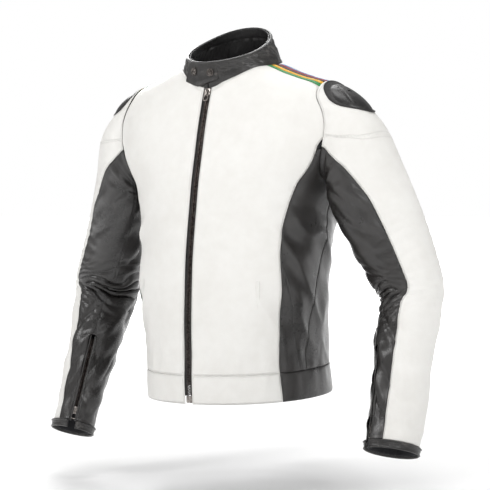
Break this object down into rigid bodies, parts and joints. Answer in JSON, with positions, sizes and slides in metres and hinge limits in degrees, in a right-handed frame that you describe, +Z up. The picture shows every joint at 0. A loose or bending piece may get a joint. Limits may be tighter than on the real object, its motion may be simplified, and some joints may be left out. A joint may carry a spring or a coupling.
{
  "type": "leather riding jacket",
  "caption": "White and black leather riding jacket with stand-up snap collar, front zip, moulded shoulder caps, striped shoulders and zipped cuffs, shaped as worn.",
  "frame": {"origin": "middle of the neck ring, where the wearer's neck passes", "axes": "+Z up through the neck opening, +X towards the wearer's left arm, -Y out of the chest"},
  "size_m": [0.7652, 0.312, 0.7285],
  "materials": {
    "white_leather": "smooth, fine grain, soft sheen",
    "black_leather": "grained, creased, soft highlights",
    "lining": "dark matt cloth",
    "zip_metal": "dark antique metal",
    "zip_tape": "woven tape with a dark metal chain",
    "shoulder_cap": "glossy, moulded",
    "protector_foam": "firm foam",
    "stripe_green": "smooth",
    "stripe_yellow": "smooth",
    "stripe_black": "smooth",
    "stripe_red": "smooth",
    "stripe_blue": "smooth"
  },
  "bodies": {
    "jacket_body": {"front_panel_left": "white_leather", "front_panel_right": "white_leather", "back_panel": "white_leather", "side_panel_front_left": "black_leather", "side_panel_front_right": "black_leather", "side_panel_back_left": "black_leather", "side_panel_back_right": "black_leather", "shoulder_stripe_green_left": "stripe_green", "shoulder_stripe_green_right": "stripe_green", "shoulder_stripe_yellow_left": "stripe_yellow", "shoulder_stripe_yellow_right": "stripe_yellow", "shoulder_stripe_black_left": "stripe_black", "shoulder_stripe_black_right": "stripe_black", "shoulder_stripe_red_left": "stripe_red", "shoulder_stripe_red_right": "stripe_red", "shoulder_stripe_blue_left": "stripe_blue", "shoulder_stripe_blue_right": "stripe_blue", "waistband_front_left": "white_leather", "waistband_front_right": "white_leather", "waistband_side_left": "black_leather", "waistband_side_right": "black_leather", "waistband_back": "black_leather", "pocket_welt_left": "white_leather", "pocket_welt_right": "white_leather", "sleeve_upper_outer_left": "white_leather", "sleeve_upper_outer_right": "white_leather", "sleeve_upper_inner_left": "black_leather", "sleeve_upper_inner_right": "black_leather", "sleeve_elbow_left": "black_leather", "sleeve_elbow_right": "black_leather", "collar_band": "black_leather", "collar_lining": "lining", "hanger_loop": "lining", "zip_tape_left": "zip_tape", "zip_tape_right": "zip_tape", "zip_bottom_box": "zip_metal", "shoulder_cap_left": "shoulder_cap", "shoulder_cap_right": "shoulder_cap", "body_lining": "lining"},
    "forearm_left_part": {"forearm_outer_left": "white_leather", "forearm_inner_left": "black_leather", "cuff_band_left": "black_leather", "cuff_zip_tape_left": "zip_tape", "elbow_protector_left": "protector_foam", "forearm_lining_left": "lining"},
    "forearm_right_part": {"forearm_outer_right": "white_leather", "forearm_inner_right": "black_leather", "cuff_band_right": "black_leather", "cuff_zip_tape_right": "zip_tape", "elbow_protector_right": "protector_foam", "forearm_lining_right": "lining"},
    "collar_tab_part": {"collar_tab": "black_leather", "snap_cap_outer": "zip_metal", "snap_cap_inner": "zip_metal"},
    "main_slider": {"zip_slider": "zip_metal"},
    "main_pull": {"zip_pull": "zip_metal"},
    "cuff_slider_left": {"cuff_zip_slider_left": "zip_metal"},
    "cuff_slider_right": {"cuff_zip_slider_right": "zip_metal"},
    "cuff_pull_left": {"cuff_zip_pull_left": "zip_metal"},
    "cuff_pull_right": {"cuff_zip_pull_right": "zip_metal"}
  },
  "joints": [
    {"name": "elbow_left", "type": "hinge", "parent": "jacket_body", "child": "forearm_left_part", "pos_m": [0.329, 0.038, -0.4], "axis": [-0.82, 0.51, -0.26], "range_deg": [-20, 40], "deforming": ["sleeve_elbow_left"]},
    {"name": "elbow_right", "type": "hinge", "parent": "jacket_body", "child": "forearm_right_part", "pos_m": [-0.329, 0.038, -0.4], "axis": [-0.82, -0.51, 0.26], "range_deg": [-20, 40], "deforming": ["sleeve_elbow_right"]},
    {"name": "main_zip", "type": "hinge", "parent": "jacket_body", "child": "main_slider", "pos_m": [0, 1.385, -0.579], "axis": [1, 0, 0], "range_deg": [0, 19]},
    {"name": "main_zip_pull", "type": "hinge", "parent": "main_slider", "child": "main_pull", "pos_m": [0, -0.0733, -0.04964], "axis": [-1, 0, 0], "range_deg": [0, 150]},
    {"name": "collar_tab_fold", "type": "hinge", "parent": "jacket_body", "child": "collar_tab_part", "pos_m": [0.0197, -0.0686, -0.0155], "axis": [-0.102, -0.021, 0.9946], "range_deg": [0, 90]},
    {"name": "cuff_zip_left", "type": "slide", "parent": "forearm_left_part", "child": "cuff_slider_left", "axis": [-0.069, 0.3639, 0.9289], "range_m": [0, 0.125]},
    {"name": "cuff_zip_right", "type": "slide", "parent": "forearm_right_part", "child": "cuff_slider_right", "axis": [0.069, 0.3639, 0.9289], "range_m": [0, 0.125]},
    {"name": "cuff_zip_pull_left", "type": "hinge", "parent": "cuff_slider_left", "child": "cuff_pull_left", "pos_m": [0.31576, -0.08679, -0.61275], "axis": [-0.8144, 0.5172, -0.2631], "range_deg": [0, 150]},
    {"name": "cuff_zip_pull_right", "type": "hinge", "parent": "cuff_slider_right", "child": "cuff_pull_right", "pos_m": [-0.31576, -0.08679, -0.61275], "axis": [-0.8144, -0.5172, 0.2631], "range_deg": [0, 150]}
  ]
}
